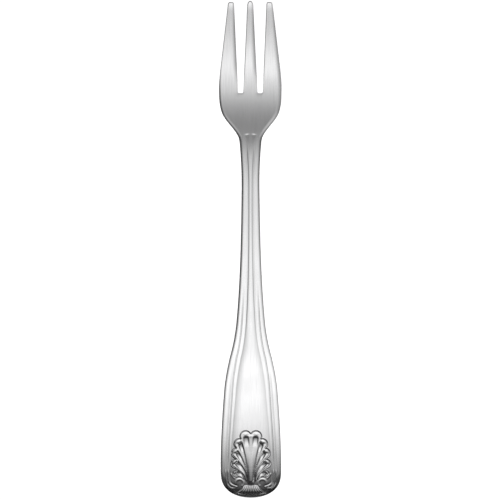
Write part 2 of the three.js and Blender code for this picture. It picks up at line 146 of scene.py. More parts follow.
# %% Half width of the fork
tine_length = 27.6
neck_at = 42.2
stem_thinnest_at = 57.0
flare_at = fork_length - 54.0
shoulder_at = fork_length - 42.4
swell_at = fork_length - 32.6
widest_at = fork_length - 9.0
end_fullness = 3.05

side_line = curve_through([
    (0, 6.62, 0.12),
    (tine_length - 9.6, 8.78, 0.115),
    (tine_length - 1.2, 9.48, 0),
    (tine_length + 6, 8.62, -0.36),
    (neck_at, 3.33, -0.1),
    (stem_thinnest_at, 2.69, 0.012),
    (flare_at, 4.22, 0.09),
    (shoulder_at, 6.38, 0.29, 0.22),
    (swell_at, 8.02, 0.08),
    (widest_at, 9.13, 0),
])


def half_width(at):
    past = np.clip((at - widest_at) / (fork_length - widest_at), 0, 1)
    return side_line(at) * np.sqrt(1 - past**end_fullness)


for name, at in (("slots", tine_length), ("stem", stem_thinnest_at), ("handle", widest_at)):
    print(f"half width at the {name}: {half_width(at):.2f} mm")

# %% Slots between the tines
slot_spacing = 5.9
slot_width = 1.54
slot_corner = 0.36
middle_tip_width = 1.7
outer_tip_width = 1.7
tip_spread = float(side_line(0))


def slot_walls(at):
    depth = np.clip(tine_length - at, 0, None)
    straight = np.clip(depth - slot_corner, 0, None) / (tine_length - slot_corner)
    short = np.clip(slot_corner - depth, 0, slot_corner)
    corner = slot_corner - np.sqrt(slot_corner**2 - short**2)
    inner = (slot_spacing - slot_width) / 2 * (1 - straight) + middle_tip_width / 2 * straight
    outer = (slot_spacing + slot_width) / 2 * (1 - straight) + (tip_spread - outer_tip_width) * straight
    return inner + corner, outer - corner


for name, at in (("corners", tine_length - slot_corner), ("tips", 0)):
    inner, outer = slot_walls(at)
    print(f"slot at the {name}: from {inner:.2f} to {outer:.2f} mm off the middle")

# %% [markdown]
# ## The flat blank
# By hand this is one row of five squares across the head, just behind the slots. Its rear edge is
# extruded down the whole fork, row after row, and scaled to the outline at each row. The edges in front
# of the three tines are extruded forward in the same way. Rows lie close together where the surface will
# turn quickly, at the tips, the slots, the neck and the shell, and far apart along the plain stem.

# %% Where the rows lie
ledge_at = 40.3
ledge_reach = 1
ornament_length = 21.5
shell_from = fork_length - ornament_length
slot_roll = [0.05, 0.11, 0.18, 0.26, 0.35, 0.46, 0.6, 0.78, 1.0]


def rows(start, end, count):
    return list(np.linspace(start, end, count + 1)[1:])


def rows_closing(start, end, count):
    return [start + (end - start) * math.sin(turn) for turn in rows(0, math.pi / 2, count)]


body_rows = [
    *[tine_length + past for past in slot_roll],
    *rows(tine_length + slot_roll[-1], ledge_at - ledge_reach, count=22),
    *rows(ledge_at - ledge_reach, ledge_at + ledge_reach, count=20),
    *rows(ledge_at + ledge_reach, shoulder_at, count=64),
    *rows(shoulder_at, shell_from, count=24),
    *rows(shell_from, widest_at, count=96),
    *rows_closing(widest_at, fork_length, count=104),
]
print(f"{len(body_rows)} rows behind the slots")

# %% Rows of a tine
middle_tip = {"at": 0.0, "length": 1.3, "fullness": 2.0}
outer_tip = {"at": 0.36, "length": 0.75, "fullness": 2.8}
corner_shares = (0.13, 0.5, 1.0)


def tine_rows(tip):
    start, end = tip["at"], tip["at"] + tip["length"]
    round_tip = [start + end - at for at in rows_closing(start, end, count=12)]
    return [
        *[tine_length - slot_corner * share for share in corner_shares],
        *rows(tine_length - slot_corner, end, count=44),
        *round_tip,
    ]


print(f"{len(tine_rows(middle_tip))} rows on a tine")

# %% Tools for rows
row_slack = 1e-3


def y_at(at):
    return fork_length / 2 - at


def select_row(piece, at, low, high):
    bpy.ops.mesh.select_all(action="DESELECT")
    shape = bmesh.from_edit_mesh(piece.data)
    for edge in shape.edges:
        ends = [v.co for v in edge.verts]
        edge.select_set(all(abs(p.y - y_at(at)) < row_slack and low < p.x < high for p in ends))
    bmesh.update_edit_mesh(piece.data)


def add_row(step, shift, widen, centre):
    bpy.ops.mesh.extrude_edges_move(TRANSFORM_OT_translate={"value": (shift, step, 0)})
    bpy.ops.transform.resize(value=(widen, 1, 1), center_override=(*centre, 0))


print(f"the slots end at y = {y_at(tine_length):.2f} mm")

# %% First squares across the head
head_columns = 5
bpy.ops.object.select_all(action="DESELECT")
bpy.ops.mesh.primitive_grid_add(x_subdivisions=head_columns, y_subdivisions=1, size=1)
blank = bpy.context.object
blank.name = "oyster_fork"
inner_wall, outer_wall = (float(wall) for wall in slot_walls(tine_length))
head_edge = float(half_width(tine_length))
column_places = [-head_edge, -outer_wall, -inner_wall, inner_wall, outer_wall, head_edge]
first_widen = float(half_width(body_rows[0])) / head_edge
for corner in blank.data.vertices:
    across = column_places[round((corner.co.x + 0.5) * head_columns)]
    front = corner.co.y > 0
    corner.co.x = across if front else across * first_widen
    corner.co.y = y_at(tine_length if front else body_rows[0])
print("columns at the slots in mm:", [round(place, 2) for place in column_places])

# %% Extrude the body
bpy.ops.object.mode_set(mode="EDIT")
bpy.ops.mesh.select_mode(type="EDGE")
select_row(blank, body_rows[0], -2 * head_edge, 2 * head_edge)
for last, at in zip(body_rows, body_rows[1:]):
    widen = float(half_width(at) / half_width(last))
    add_row(last - at, 0, widen, (0, y_at(at)))
print(f"body: {len(bmesh.from_edit_mesh(blank.data).faces)} faces")

# %% Extrude the tines
least_width = 1e-9
weld_distance = 1e-4


def tine_sides(at, side):
    inner, outer = (float(wall) for wall in slot_walls(at))
    edge = float(half_width(at))
    return {-1: (-edge, -outer), 0: (-inner, inner), 1: (outer, edge)}[side]


def tine_width(at, side, tip):
    left, right = tine_sides(at, side)
    short = min(1.0, max(0.0, 1 - (at - tip["at"]) / tip["length"]))
    return (right - left) * (1 - short ** tip["fullness"]) ** (1 / tip["fullness"])


def extrude_tine(side, tip):
    left, right = tine_sides(tine_length, side)
    select_row(blank, tine_length, left - row_slack, right + row_slack)
    middle, width, last = (left + right) / 2, right - left, tine_length
    for at in tine_rows(tip):
        next_middle = sum(tine_sides(at, side)) / 2
        next_width = tine_width(at, side, tip)
        add_row(last - at, next_middle - middle, next_width / width, (next_middle, y_at(at)))
        middle, width, last = next_middle, max(next_width, least_width), at


for side, tip in ((-1, outer_tip), (0, middle_tip), (1, outer_tip)):
    extrude_tine(side, tip)
bpy.ops.mesh.select_all(action="SELECT")
bpy.ops.mesh.remove_doubles(threshold=weld_distance)
bpy.ops.object.mode_set(mode="OBJECT")
print(f"flat blank: {len(blank.data.polygons)} faces")

# %% [markdown]
# ## Columns
# The blank has five columns, which is all that its outline needs. The threads and the shell need many
# more across the face, while the back is plain. So the blank is copied, the copy keeps few columns and
# becomes the back, and the face gets columns a tenth of a millimetre apart. Both keep the same rows and
# the same slot columns, so that their edges match point for point when they are joined.

# %% Tools for columns
level_slack = 1e-5


def at_y(y):
    return fork_length / 2 - y


def column_walls(at):
    at = np.asarray(at, float)
    inner, outer = slot_walls(at)
    behind = at > tine_length
    scale = np.where(behind, half_width(at) / half_width(tine_length), 1)
    return inner * scale, outer * scale


def add_columns(piece, column, cuts):
    shape = bmesh.from_edit_mesh(piece.data)
    bpy.ops.mesh.select_all(action="DESELECT")
    for edge in shape.edges:
        a, b = (v.co for v in edge.verts)
        if abs(a.y - b.y) < level_slack:
            inner, outer = column_walls(at_y(a.y))
            across = abs(a.x + b.x) / 2
            found = "middle" if across < inner else "outer" if across > outer else "slot"
            edge.select_set(found == column)
    bmesh.update_edit_mesh(piece.data)
    bpy.ops.mesh.subdivide(number_cuts=cuts)


print("slot column at the neck in mm:", [round(float(wall), 2) for wall in column_walls(neck_at)])

# %% Face and back sheets
face_cuts = {"outer": 55, "slot": 13, "middle": 41}
back_cuts = {"outer": 7, "slot": 13, "middle": 5}


def cut_columns(piece, cuts):
    bpy.ops.object.select_all(action="DESELECT")
    piece.select_set(True)
    bpy.context.view_layer.objects.active = piece
    bpy.ops.object.mode_set(mode="EDIT")
    bpy.ops.mesh.select_mode(type="EDGE")
    for column, count in cuts.items():
        add_columns(piece, column, count)
    bpy.ops.object.mode_set(mode="OBJECT")


bpy.ops.object.select_all(action="DESELECT")
blank.select_set(True)
bpy.context.view_layer.objects.active = blank
bpy.ops.object.duplicate()
back = bpy.context.object
back.name = "fork_back"
cut_columns(blank, face_cuts)
cut_columns(back, back_cuts)
print(f"face {len(blank.data.polygons)} faces, back {len(back.data.polygons)} faces")

# %% [markdown]
# ## Arch and thickness
# Seen from the side the fork is a long low arch: the tines curl up a little, the head climbs steeply to
# the neck, the stem runs on gently, and the end of the handle turns down to the table. The tilt along the
# fork is the thing to draw, because it is what the eye reads in the reflections; summing it gives the
# height. The metal is thin at the tips and thick at the stem.

# %% Tilt and thickness
face_tilt = curve_through([
    (0, -4.0),
    (1.2, -7.0),
    (3, -10.9),
    (9, -10.0),
    (tine_length - 9.9, -5.5),
    (tine_length - 2.7, 2.4),
    (tine_length + 10.4, 11.9),
    (neck_at + 5.8, 6.8),
    (stem_thinnest_at + 3, 3.9),
    (flare_at + 1, 1.5),
    (fork_length - 38, -1.5),
    (fork_length - 22, -4.9),
    (fork_length - 8.5, -11.6),
    (fork_length, -16.5),
])
thickness = curve_through([
    (0, 1.1),
    (tine_length, 1.9),
    (neck_at, 2.9),
    (stem_thinnest_at, 3.0),
    (shoulder_at, 2.2),
    (fork_length, 1.9),
])
for name, at in (("slots", tine_length), ("neck", neck_at), ("end", fork_length)):
    print(f"at the {name}: tilt {face_tilt(at):.1f} degrees, {thickness(at):.1f} mm thick")

# %% Tilt summed into a height
back_roll = 1.5
back_drop = 0.45
rest_flat = 0.12
roll_power = 2.2
line_points = 3001
levelling_rounds = 4


def roll_off(inset, roll, drop, power=roll_power):
    return drop * np.clip(1 - inset / roll, 0, 1) ** power


line_at = np.linspace(0, fork_length, line_points)
line_depth = thickness(line_at) - roll_off(fork_length - line_at, back_roll, back_drop)
line_slope = np.tan(np.radians(face_tilt(line_at)))
line_rise = np.concatenate([[0], np.cumsum((line_slope[1:] + line_slope[:-1]) / 2 * np.diff(line_at))])


def lowest(height, where):
    return np.argmin(np.where(where, height - line_depth, np.inf))


for _ in range(levelling_rounds):
    head_low = lowest(line_rise, line_at < neck_at)
    handle_low = lowest(line_rise, line_at > shoulder_at)
    lows = line_rise - line_depth
    lean = (lows[handle_low] - lows[head_low]) / (line_at[handle_low] - line_at[head_low])
    line_rise = line_rise - lean * line_at
line_height = line_rise - (line_rise - line_depth).min() - rest_flat
print(f"arch: {line_height.max():.2f} mm at its highest, rests {line_at[head_low]:.1f} mm from the tip")

# %% [markdown]
# ## Threads
# Two fine lines run along each side of the handle and leave flat beads between them. They frame a panel
# that falls away at its sides and is flat in the middle. On the stem only two grooves are left, close
# together, with a rib between them, and they end at the neck under two small arches. A line is a narrow dip
# by its distance from a curve on the face, so each curve is drawn once, from the neck to the scrolls.

# %% Lines of the threads
border_lines = curve_through([
    (ledge_at, 1.9),
    (stem_thinnest_at - 6, 1.95),
    (stem_thinnest_at + 15, 2.2),
    (flare_at, 2.77),
    (shoulder_at, 3.3),
    (swell_at, 3.5),
    (widest_at, 2.85),
])
bead_at = fork_length - 30
inner_share = curve_through([(flare_at - 3, 0.57), (shoulder_at, 0.625), (bead_at, 0.71), (widest_at, 0.8)])
outer_share = curve_through([(shoulder_at, 0.42), (bead_at, 0.51), (widest_at, 0.55)])


def panel_edge(at):
    return (side_line(at) - border_lines(at)) * half_width(at) / side_line(at)


for name, at in (("neck", neck_at), ("flare", flare_at), ("widest handle", widest_at)):
    print(f"panel at the {name}: {2 * panel_edge(at):.2f} mm wide")

# %% Ramps and bumps


def ramp(at, start, end):
    t = np.clip((at - start) / (end - start), 0, 1)
    return t * t * (3 - 2 * t)


def bump(distance, half, height):
    return height * np.exp(-((distance / half) ** 2))


print(f"a quarter along a ramp: {ramp(0.25, 0, 1):.3f}; half a width off a bump: {bump(0.5, 1, 1):.3f}")

# %% Relief of the threads
groove_half, groove_depth = 0.26, 0.036
line_half = 0.16
inner_line_depth, outer_line_depth = 0.06, 0.04
panel_slope, panel_shoulder, panel_least = 0.165, 2.5, 0.05
ledge_arch, ledge_arch_half, ledge_bow = 1.05, 0.6, 0.05
ledge_half, ledge_run, ledge_depth = 0.24, 1.6, 0.05
stem_relief_from = (ledge_at - 0.2, ledge_at + 7)
groove_fades, groove_lost = (flare_at - 6, shoulder_at), 0.9
inner_line_from = (flare_at - 14, flare_at)
outer_line_from = (shoulder_at - 1, swell_at)
lines_end = (widest_at - 4, widest_at + 1)
crown_sinks = (fork_length - 3.2, fork_length - 0.1)


def thread_relief(x, at):
    side, edge = np.abs(x), half_width(at)
    panel = np.maximum(panel_edge(at), panel_least)
    border = edge - panel
    on_stem, run_out = ramp(at, *stem_relief_from), 1 - ramp(at, *lines_end)
    groove = -bump(side - panel, groove_half, groove_depth) * on_stem
    groove = groove * (1 - groove_lost * ramp(at, *groove_fades))
    inner = -bump(side - edge + border * inner_share(at), line_half, inner_line_depth)
    outer = -bump(side - edge + border * outer_share(at), line_half, outer_line_depth)
    inner = inner * ramp(at, *inner_line_from) * run_out
    outer = outer * ramp(at, *outer_line_from) * run_out
    shoulder = np.minimum(panel, panel_shoulder)
    short = np.clip(1 - (panel - side) / shoulder, 0, 1)
    crown = panel_slope * shoulder / 2 * (1 - short**2) * on_stem * (1 - ramp(at, *crown_sinks))
    past_ledge = at - ledge_at - ledge_bow * side**2
    ledge = -bump(past_ledge, np.where(past_ledge < 0, ledge_half, ledge_run), ledge_depth)
    ledge = ledge * bump(side - ledge_arch, ledge_arch_half, 1)
    return groove + inner + outer + crown + ledge


for name, at in (("stem", stem_thinnest_at), ("swell", swell_at)):
    print(f"the middle of the panel stands {thread_relief(0, at):.3f} mm proud at the {name}")

# %% [markdown]
# ## Shell
# The shell is ten flutes, five a side, that lie over each other like tiles: the middle pair on top. Each
# flute is a row of circles along a bent line. Across it the metal climbs from a low inner side to a thin
# bright crest along the outer side and drops steeply to the next flute; round its tip the crest is a broad
# band, with a dark hollow behind it, the eye. Drawing the flutes from the lowest to the highest, each over
# the last, gives the overlaps. Below the shell lie two scrolls, each with a small leaf, the thread ends and
# a tassel of fine rays. Places are given as (distance from the middle line, distance from the handle end).

# %% Flutes
flutes = [
    {"tip": (1.55, 18.85), "radius": 1.85, "bend": (0.88, 13.46), "root": (0.55, 3.7), "root_radius": 0.45,
     "eye": (0.15, 1.0, 1.0), "eye_length": 3.6, "lift": 0.1, "fade": 0.09},
    {"tip": (3.4, 16.55), "radius": 1.77, "bend": (1.62, 12.06), "root": (0.95, 6.05), "root_radius": 0.25,
     "eye": (0.28, 1.5, 0.6), "eye_length": 3.0, "lift": 0.11, "fade": 0.2},
    {"tip": (4.25, 13.75), "radius": 1.7, "bend": (1.49, 9.69), "root": (1.05, 5.9), "root_radius": 0.25,
     "eye": (0.3, 1.4, 0.55), "eye_length": 3.0, "lift": 0.13, "fade": 0.2},
    {"tip": (4.6, 10.55), "radius": 1.5, "bend": (1.48, 7.59), "root": (1.35, 5.0), "root_radius": 0.22,
     "eye": (0.35, 1.2, 0.5), "eye_length": 3.0, "lift": 0.17, "fade": 0.2},
    {"tip": (4.5, 7.5), "radius": 1.12, "bend": (2.7, 6.9), "root": (2.0, 5.7), "root_radius": 0.25,
     "eye": (0.5, 1.0, 0.5), "eye_length": 3.0, "lift": 0.21, "fade": 0.2},
]
print(f"{2 * len(flutes)} flutes, with tips of these radii in mm:", [flute["radius"] for flute in flutes])

# %% Eye behind a tip
eye_wall = 0.7
eye_bow = 0.16
eye_core = 0.4
quick_share = 0.7
bank_straight = 0.7


def bank(at, start, end):
    straight = np.clip((at - start) / (end - start), 0, 1)
    return bank_straight * straight + (1 - bank_straight) * ramp(at, start, end)


def eye_hollow(side, up, flute):
    tip, bend = np.array(flute["tip"]), np.array(flute["bend"])
    along = (tip - bend) / np.linalg.norm(tip - bend)
    ahead = (side - tip[0]) * along[0] + (up - tip[1]) * along[1]
    outward = (side - tip[0]) * along[1] - (up - tip[1]) * along[0]
    front, inner_half, outer_half = flute["eye"]
    share = np.where(outward < 0, -outward / inner_half, outward / outer_half)
    behind = front - ahead - eye_bow * share**2
    window = 1 - ramp(share, eye_core, 1)
    quick = 1 - ramp(behind, eye_wall, flute["eye_length"])
    slow = 1 - ramp(behind, eye_wall, 2 * flute["eye_length"])
    return window * bank(behind, 0, eye_wall) * (quick_share * quick + (1 - quick_share) * slow)


first_side, first_up = flutes[0]["tip"]
first_eye = float(eye_hollow(first_side, first_up - 1, flutes[0]))
print(f"a millimetre behind the first tip's middle the eye has {first_eye:.2f} of its depth")

# %% Where a point lies on a flute
flute_steps = 60
flute_swell = 1.6
least_distance = 1e-6


def flute_places(side, up, flute):
    t = np.linspace(0, 1, flute_steps)[:, None]
    root, bend, tip = (np.array(flute[key]) for key in ("root", "bend", "tip"))
    axis = root * (1 - t) ** 2 + 2 * bend * t * (1 - t) + tip * t**2
    along = 2 * (bend - root) * (1 - t) + 2 * (tip - bend) * t
    along = along / np.linalg.norm(along, axis=1, keepdims=True)
    radius = flute["root_radius"] + (flute["radius"] - flute["root_radius"]) * t[:, 0] ** flute_swell
    inside = np.full(side.shape, -np.inf)
    nearest = np.zeros(side.shape, int)
    for i in range(flute_steps):
        depth = radius[i] - np.hypot(side - axis[i, 0], up - axis[i, 1])
        better = depth > inside
        inside = np.where(better, depth, inside)
        nearest = np.where(better, i, nearest)
    off = np.stack([side - axis[nearest, 0], up - axis[nearest, 1]])
    ahead = off[0] * along[nearest, 0] + off[1] * along[nearest, 1]
    outward = off[0] * along[nearest, 1] - off[1] * along[nearest, 0]
    in_cap = (nearest == flute_steps - 1) & (ahead > 0)
    return inside, off, ahead, outward, in_cap, t[nearest, 0], radius[nearest]


depth_at_tip = flute_places(np.array([first_side]), np.array([first_up]), flutes[0])[0][0]
print(f"the middle of the first tip lies {depth_at_tip:.2f} mm inside its rim")

# %% Height of one flute
crest_height, crest_front, crest_turns = 0.28, 0.58, (0.85, 1)
wall_up, wall_down, wall_most = 0.36, 0.52, 0.9
body_run = 0.6
inner_floor, root_floor, floor_rises = 0.11, 0.2, (0, 0.7)
fan_floor, fan_climb, fan_rises = 0.26, 0.2, (0.2, 0.85)
lift_from = (0.5, 1)
eye_depth = 0.2


def meet_at_cusp(side, up, flute, inside, from_outer, places):
    off_side, off_axis, outward, in_cap, size = places
    tip_side, tip_up = flute["tip"]
    to_cusp = np.hypot(side, up - tip_up - math.sqrt(flute["radius"] ** 2 - tip_side**2))
    rim_side = tip_side + off_side * flute["radius"] / off_axis
    inside = np.where(in_cap & (rim_side < 0), to_cusp, inside)
    inside = np.where(~in_cap & (outward < 0), size, inside)
    from_rim = np.where(outward < 0, np.minimum(from_outer, to_cusp), from_outer)
    return inside, np.where(in_cap, inside, from_rim)


def flute_height(side, up, flute):
    inside, off, ahead, outward, in_cap, place, size = flute_places(side, up, flute)
    off_axis = np.maximum(np.hypot(*off), least_distance)
    from_outer = np.where(in_cap | (outward > 0), inside, size - outward)
    floor = inner_floor + (root_floor - inner_floor) * ramp(1 - place, *floor_rises)
    if flute is flutes[0]:
        places = (off[0], off_axis, outward, in_cap, size)
        inside, from_outer = meet_at_cusp(side, up, flute, inside, from_outer, places)
        floor = fan_floor + fan_climb * ramp(1 - place, *fan_rises)
    facing_down = np.clip(-off[1] / off_axis, 0, 1)
    wall_run = np.minimum(wall_up + (wall_down - wall_up) * facing_down, wall_most * size)
    frontal = np.where(in_cap, ahead / off_axis, 0)
    crest = np.maximum(wall_run, crest_front * size * np.maximum(frontal, ramp(place, *crest_turns) / 2))
    fall = np.exp(-np.maximum(from_outer - crest, 0) / (body_run * size))
    lift = flute["lift"] * np.clip(inside - wall_up, 0, 1) * ramp(place, *lift_from)
    height = floor + (crest_height + lift - floor) * fall
    eye = eye_hollow(side, up, flute)
    height = (height - eye_depth * eye) * bank(inside, 0, wall_run) * ramp(place, 0, flute["fade"])
    return inside, wall_run, height, eye


height_at_tip = flute_height(np.array([first_side]), np.array([first_up]), flutes[0])[2][0]
print(f"the middle of the first tip is {height_at_tip:.2f} mm high")

# %% Flutes over each other
# The flutes also give a mask of painted shade, a darker colour along each outline and in each eye that
# stands in for shade. These are its width along the outline and its strength there and in the eyes.
outline_half = 0.15
outline_shade = 0.65
eye_shade = 0.7


def shell_height(side, up):
    relief = np.zeros(side.shape)
    painted_shade = np.zeros(side.shape)
    for flute in reversed(flutes):
        inside, wall_run, height, eye = flute_height(side, up, flute)
        on_top = inside > wall_run
        relief = np.where(on_top, height, np.maximum(relief, np.where(inside > 0, height, 0)))
        # Painted shade: a dark band along the flute's outline and in its eye, standing in for the shade and
        # dark reflections of its walls and hollow.
        outline = bump(inside - outline_half / 2, outline_half, 1)
        painted_shade = np.maximum(np.where(inside > 0, eye_shade * eye**2, painted_shade), outline_shade * outline)
    return relief, painted_shade


tips = np.array([flute["tip"] for flute in flutes])
print("height of the shell at the tips in mm:", shell_height(tips[:, 0], tips[:, 1])[0].round(2))

# %% Scrolls and thread ends
scroll_centre = (3.45, 4.5)
scroll_radius = 1.22
scroll_last_turn = math.pi + 0.7
scroll_points = 25


def smooth_path(points, per_span=8):
    points = np.array(points, float)
    knots = np.arange(len(points), dtype=float)
    fine = np.linspace(0, len(points) - 1, (len(points) - 1) * per_span + 1)
    across = curve_through(list(zip(knots, points[:, 0])))
    along = curve_through(list(zip(knots, points[:, 1])))
    return list(zip(across(fine), along(fine)))


scroll_path = [
    (scroll_centre[0] + scroll_radius * math.cos(turn), scroll_centre[1] + scroll_radius * math.sin(turn))
    for turn in np.linspace(0.0, scroll_last_turn, scroll_points)
]
inner_end = smooth_path([(6.85, 9.5), (6.85, 7), (6.6, 4.9), (6.1, 4.2), (5.3, 3.72), (4.34, 3.37)])
outer_end = smooth_path([(7.55, 9.5), (7.55, 7), (7.3, 4.5), (6.54, 3.3), (5.72, 2.89), (4.89, 2.96)])
leaf_line = smooth_path([(5.95, 7.3), (5.44, 6.53), (4.89, 5.98)])
path_points = [len(path) for path in (scroll_path, inner_end, leaf_line)]
print("points on a scroll, a thread end and a leaf:", path_points)

# %% Tassel
tassel_rays = 9
tassel_top, tassel_knee, tassel_foot = (1.9, 3.8), (2.5, 2.6), (4.1, 1.3)
pad_rise, pad_length = 0.29, 2.0
pad_margin, pad_edge = 0.1, 0.4
ray_half, ray_height, ray_span = 0.19, 0.03, 4
pad_falls = (0.2, 1.9)
ray_falls = (1.3, 2.3)
gap_falls = (0.9, 2.1)


def distance_to(x, y, path):
    nearest = np.full(x.shape, np.inf)
    for (ax, ay), (bx, by) in zip(path, path[1:]):
        dx, dy = bx - ax, by - ay
        t = np.clip(((x - ax) * dx + (y - ay) * dy) / (dx * dx + dy * dy), 0, 1)
        nearest = np.minimum(nearest, np.hypot(x - ax - t * dx, y - ay - t * dy))
    return nearest


def tassel_height(x, up):
    corners = np.array([tassel_foot, tassel_knee, tassel_top])
    spread = np.interp(up, corners[:, 1], corners[:, 0]) + pad_margin
    on_pad = 1 - ramp(np.abs(x), spread, spread + pad_edge)
    climb = np.clip((tassel_top[1] + pad_margin - up) / pad_length, 0, 1)
    pad = pad_rise * climb * bank(up, *pad_falls) * on_pad
    rays = np.zeros(x.shape)
    for ray in np.linspace(-1, 1, tassel_rays):
        path = smooth_path([(ray * across, along) for across, along in corners[::-1]], ray_span)
        rays = np.maximum(rays, bump(distance_to(x, up, path), ray_half, 1))
    below_top = up < tassel_top[1]
    # Painted shade in the gaps between the rays of the pad, standing in for the shade there.
    gap_shade = on_pad * (1 - rays) * ramp(up, *gap_falls) * below_top
    return pad + ray_height * rays * ramp(up, *ray_falls) * below_top, gap_shade


knee_height = tassel_height(np.zeros(1), np.array([tassel_knee[1]]))[0][0]
print(f"tassel: {tassel_rays} rays, {knee_height:.2f} mm high in the middle")

# %% The whole ornament
ornament_side = 8.6
scroll_half, scroll_height = 0.34, 0.09
leaf_half, leaf_height = 0.22, 0.06
thread_half, thread_height, thread_fades = 0.23, 0.065, (7.5, 9.0)
dip_place, dip_half, dip_depth = 1.8, 0.8, 0.5
# Where the ground of the ornament gets painted shade, a band across its middle and the low outer corners,
# and how dark each is.
ground_shade, ground_top, ground_foot, ground_side = 0.5, (4.2, 5.8), (1.5, 3), (5.0, 6.5)
corner_shade, corner_side, corner_top = 0.85, (4.0, 5.6), (3.0, 4.6)
pad_least = 0.02


def thread(distance, half, height):
    dips = bump(np.abs(distance) - dip_place * half, dip_half * half, dip_depth * height)
    return bump(distance, half, height) - dips


# Painted shade on the ground of the ornament: a darker colour that stands in for the shade there.
def shade_on_ground(side, up):
    middle = ground_shade * (1 - ramp(up, *ground_top)) * ramp(up, *ground_foot)
    middle = middle * (1 - ramp(side, *ground_side))
    return np.maximum(middle, corner_shade * ramp(side, *corner_side) * (1 - ramp(up, *corner_top)))


def ornament(x, at):
    relief, painted_shade = np.zeros(x.shape), np.zeros(x.shape)
    near = (fork_length - at < ornament_length) & (np.abs(x) < ornament_side)
    side, up = np.abs(x[near]), fork_length - at[near]
    raised, dark = shell_height(side, up)
    scroll = bump(distance_to(side, up, scroll_path), scroll_half, scroll_height)
    threads = sum(thread(distance_to(side, up, path), thread_half, 1) for path in (inner_end, outer_end))
    ends = threads * (thread_height * (1 - ramp(up, *thread_fades))) * (up < fork_length - widest_at)
    leaf = bump(distance_to(side, up, leaf_line), leaf_half, leaf_height)
    tassel, gap_shade = tassel_height(x[near], up)
    relief[near] = np.max([raised, scroll, tassel, leaf], axis=0) + ends
    # The scrolls, leaf, thread ends and tassel stay clear of the painted shade on the ground. The flutes,
    # the tassel's gaps and the ground make up the painted shade mask.
    lines = [scroll / scroll_height, leaf / leaf_height, np.clip(threads, 0, 1), tassel > pad_least]
    ground = shade_on_ground(side, up) * (1 - np.max(lines, axis=0))
    painted_shade[near] = np.clip(np.max([dark, gap_shade, ground], axis=0), 0, 1)
    return relief, painted_shade


tip_heights = ornament(-tips[:, 0], fork_length - tips[:, 1])[0]
print("the left half is the mirror of the right; heights at its tips in mm:", tip_heights.round(2))

# %% [markdown]
# ## Strike the face
# Every point of the face gets its height: the arch, then threads and shell, less the rounding of the edge.
# The rounding goes by the distance to the nearest edge, which a k-d tree of points along the outline
# answers quickly. It is broad along the right side of each tine and nearly nothing at the floor of the
# slots, where the punch leaves a crisp edge. How much painted shade a point gets in the coined lines is
# kept with it, for the colour of the steel. This is sculpting by formula: extruding and scaling can't draw
# thirty overlapping curves to a hundredth of a millimetre, so here the vertices are moved in code.

# %% Points along the outline
outline_spacing = 0.03


def outline_points(piece):
    uses = {}
    for face in piece.data.polygons:
        for key in face.edge_keys:
            uses[key] = uses.get(key, 0) + 1
    points = []
    for (a, b), count in uses.items():
        if count == 1:
            start, end = piece.data.vertices[a].co, piece.data.vertices[b].co
            steps = max(1, math.ceil((end - start).length / outline_spacing))
            points += [start.lerp(end, i / steps) for i in range(steps + 1)]
    return points


rim = outline_points(blank)
edge_tree = KDTree(len(rim))
for i, point in enumerate(rim):
    edge_tree.insert(point, i)
edge_tree.balance()
print(f"{len(rim)} points along the outline")

# %% Columns along the threads
# A column keeps to a thread all the way down the handle, so that no thread crosses the columns and shows
# steps. These are the shares of the half width, counted in columns, at which the lines lie.
line_columns = (0, 0.585, 0.7, 0.81, 1)
columns_settle = (tine_length + 10, neck_at + 4)
least_edge = 1e-6


def settle_columns(x, at):
    edge = np.maximum(half_width(at), least_edge)
    share = np.clip(np.abs(x) / edge, 0, 1)
    panel = panel_edge(at)
    border = edge - panel
    lines = (0 * edge, panel, edge - border * inner_share(at), edge - border * outer_share(at), edge)
    place = np.zeros(x.shape)
    for low, high, start, end in zip(line_columns, line_columns[1:], lines, lines[1:]):
        inside = (share >= low) & (share <= high)
        place = np.where(inside, start + (end - start) * (share - low) / (high - low), place)
    settled = ramp(at, *columns_settle)
    return np.sign(x) * (np.abs(x) * (1 - settled) + place * settled)


def plan_of(piece):
    places = np.empty(len(piece.data.vertices) * 3)
    piece.data.vertices.foreach_get("co", places)
    return places.reshape(-1, 3)


face_places = plan_of(blank)
unsettled_x = face_places[:, 0].copy()
face_at = at_y(face_places[:, 1])
face_places[:, 0] = settle_columns(unsettled_x, face_at)
print(f"columns moved by up to {np.abs(face_places[:, 0] - unsettled_x).max():.2f} mm")

# %% Nearest edge of each point
edge_slack = 0.05
face_edges = [edge_tree.find(place) for place in face_places]
face_inset = np.array([found[2] for found in face_edges])
edge_x = np.array([found[0].x for found in face_edges])
edge_at = np.array([at_y(found[0].y) for found in face_edges])
right_edge = edge_x > face_places[:, 0]
between_tines = np.abs(edge_x) < column_walls(edge_at)[1] + edge_slack
slot_edge = (edge_at < tine_length + edge_slack) & between_tines
print(f"widest inset {face_inset.max():.2f} mm, {slot_edge.sum()} points are nearest to a slot")

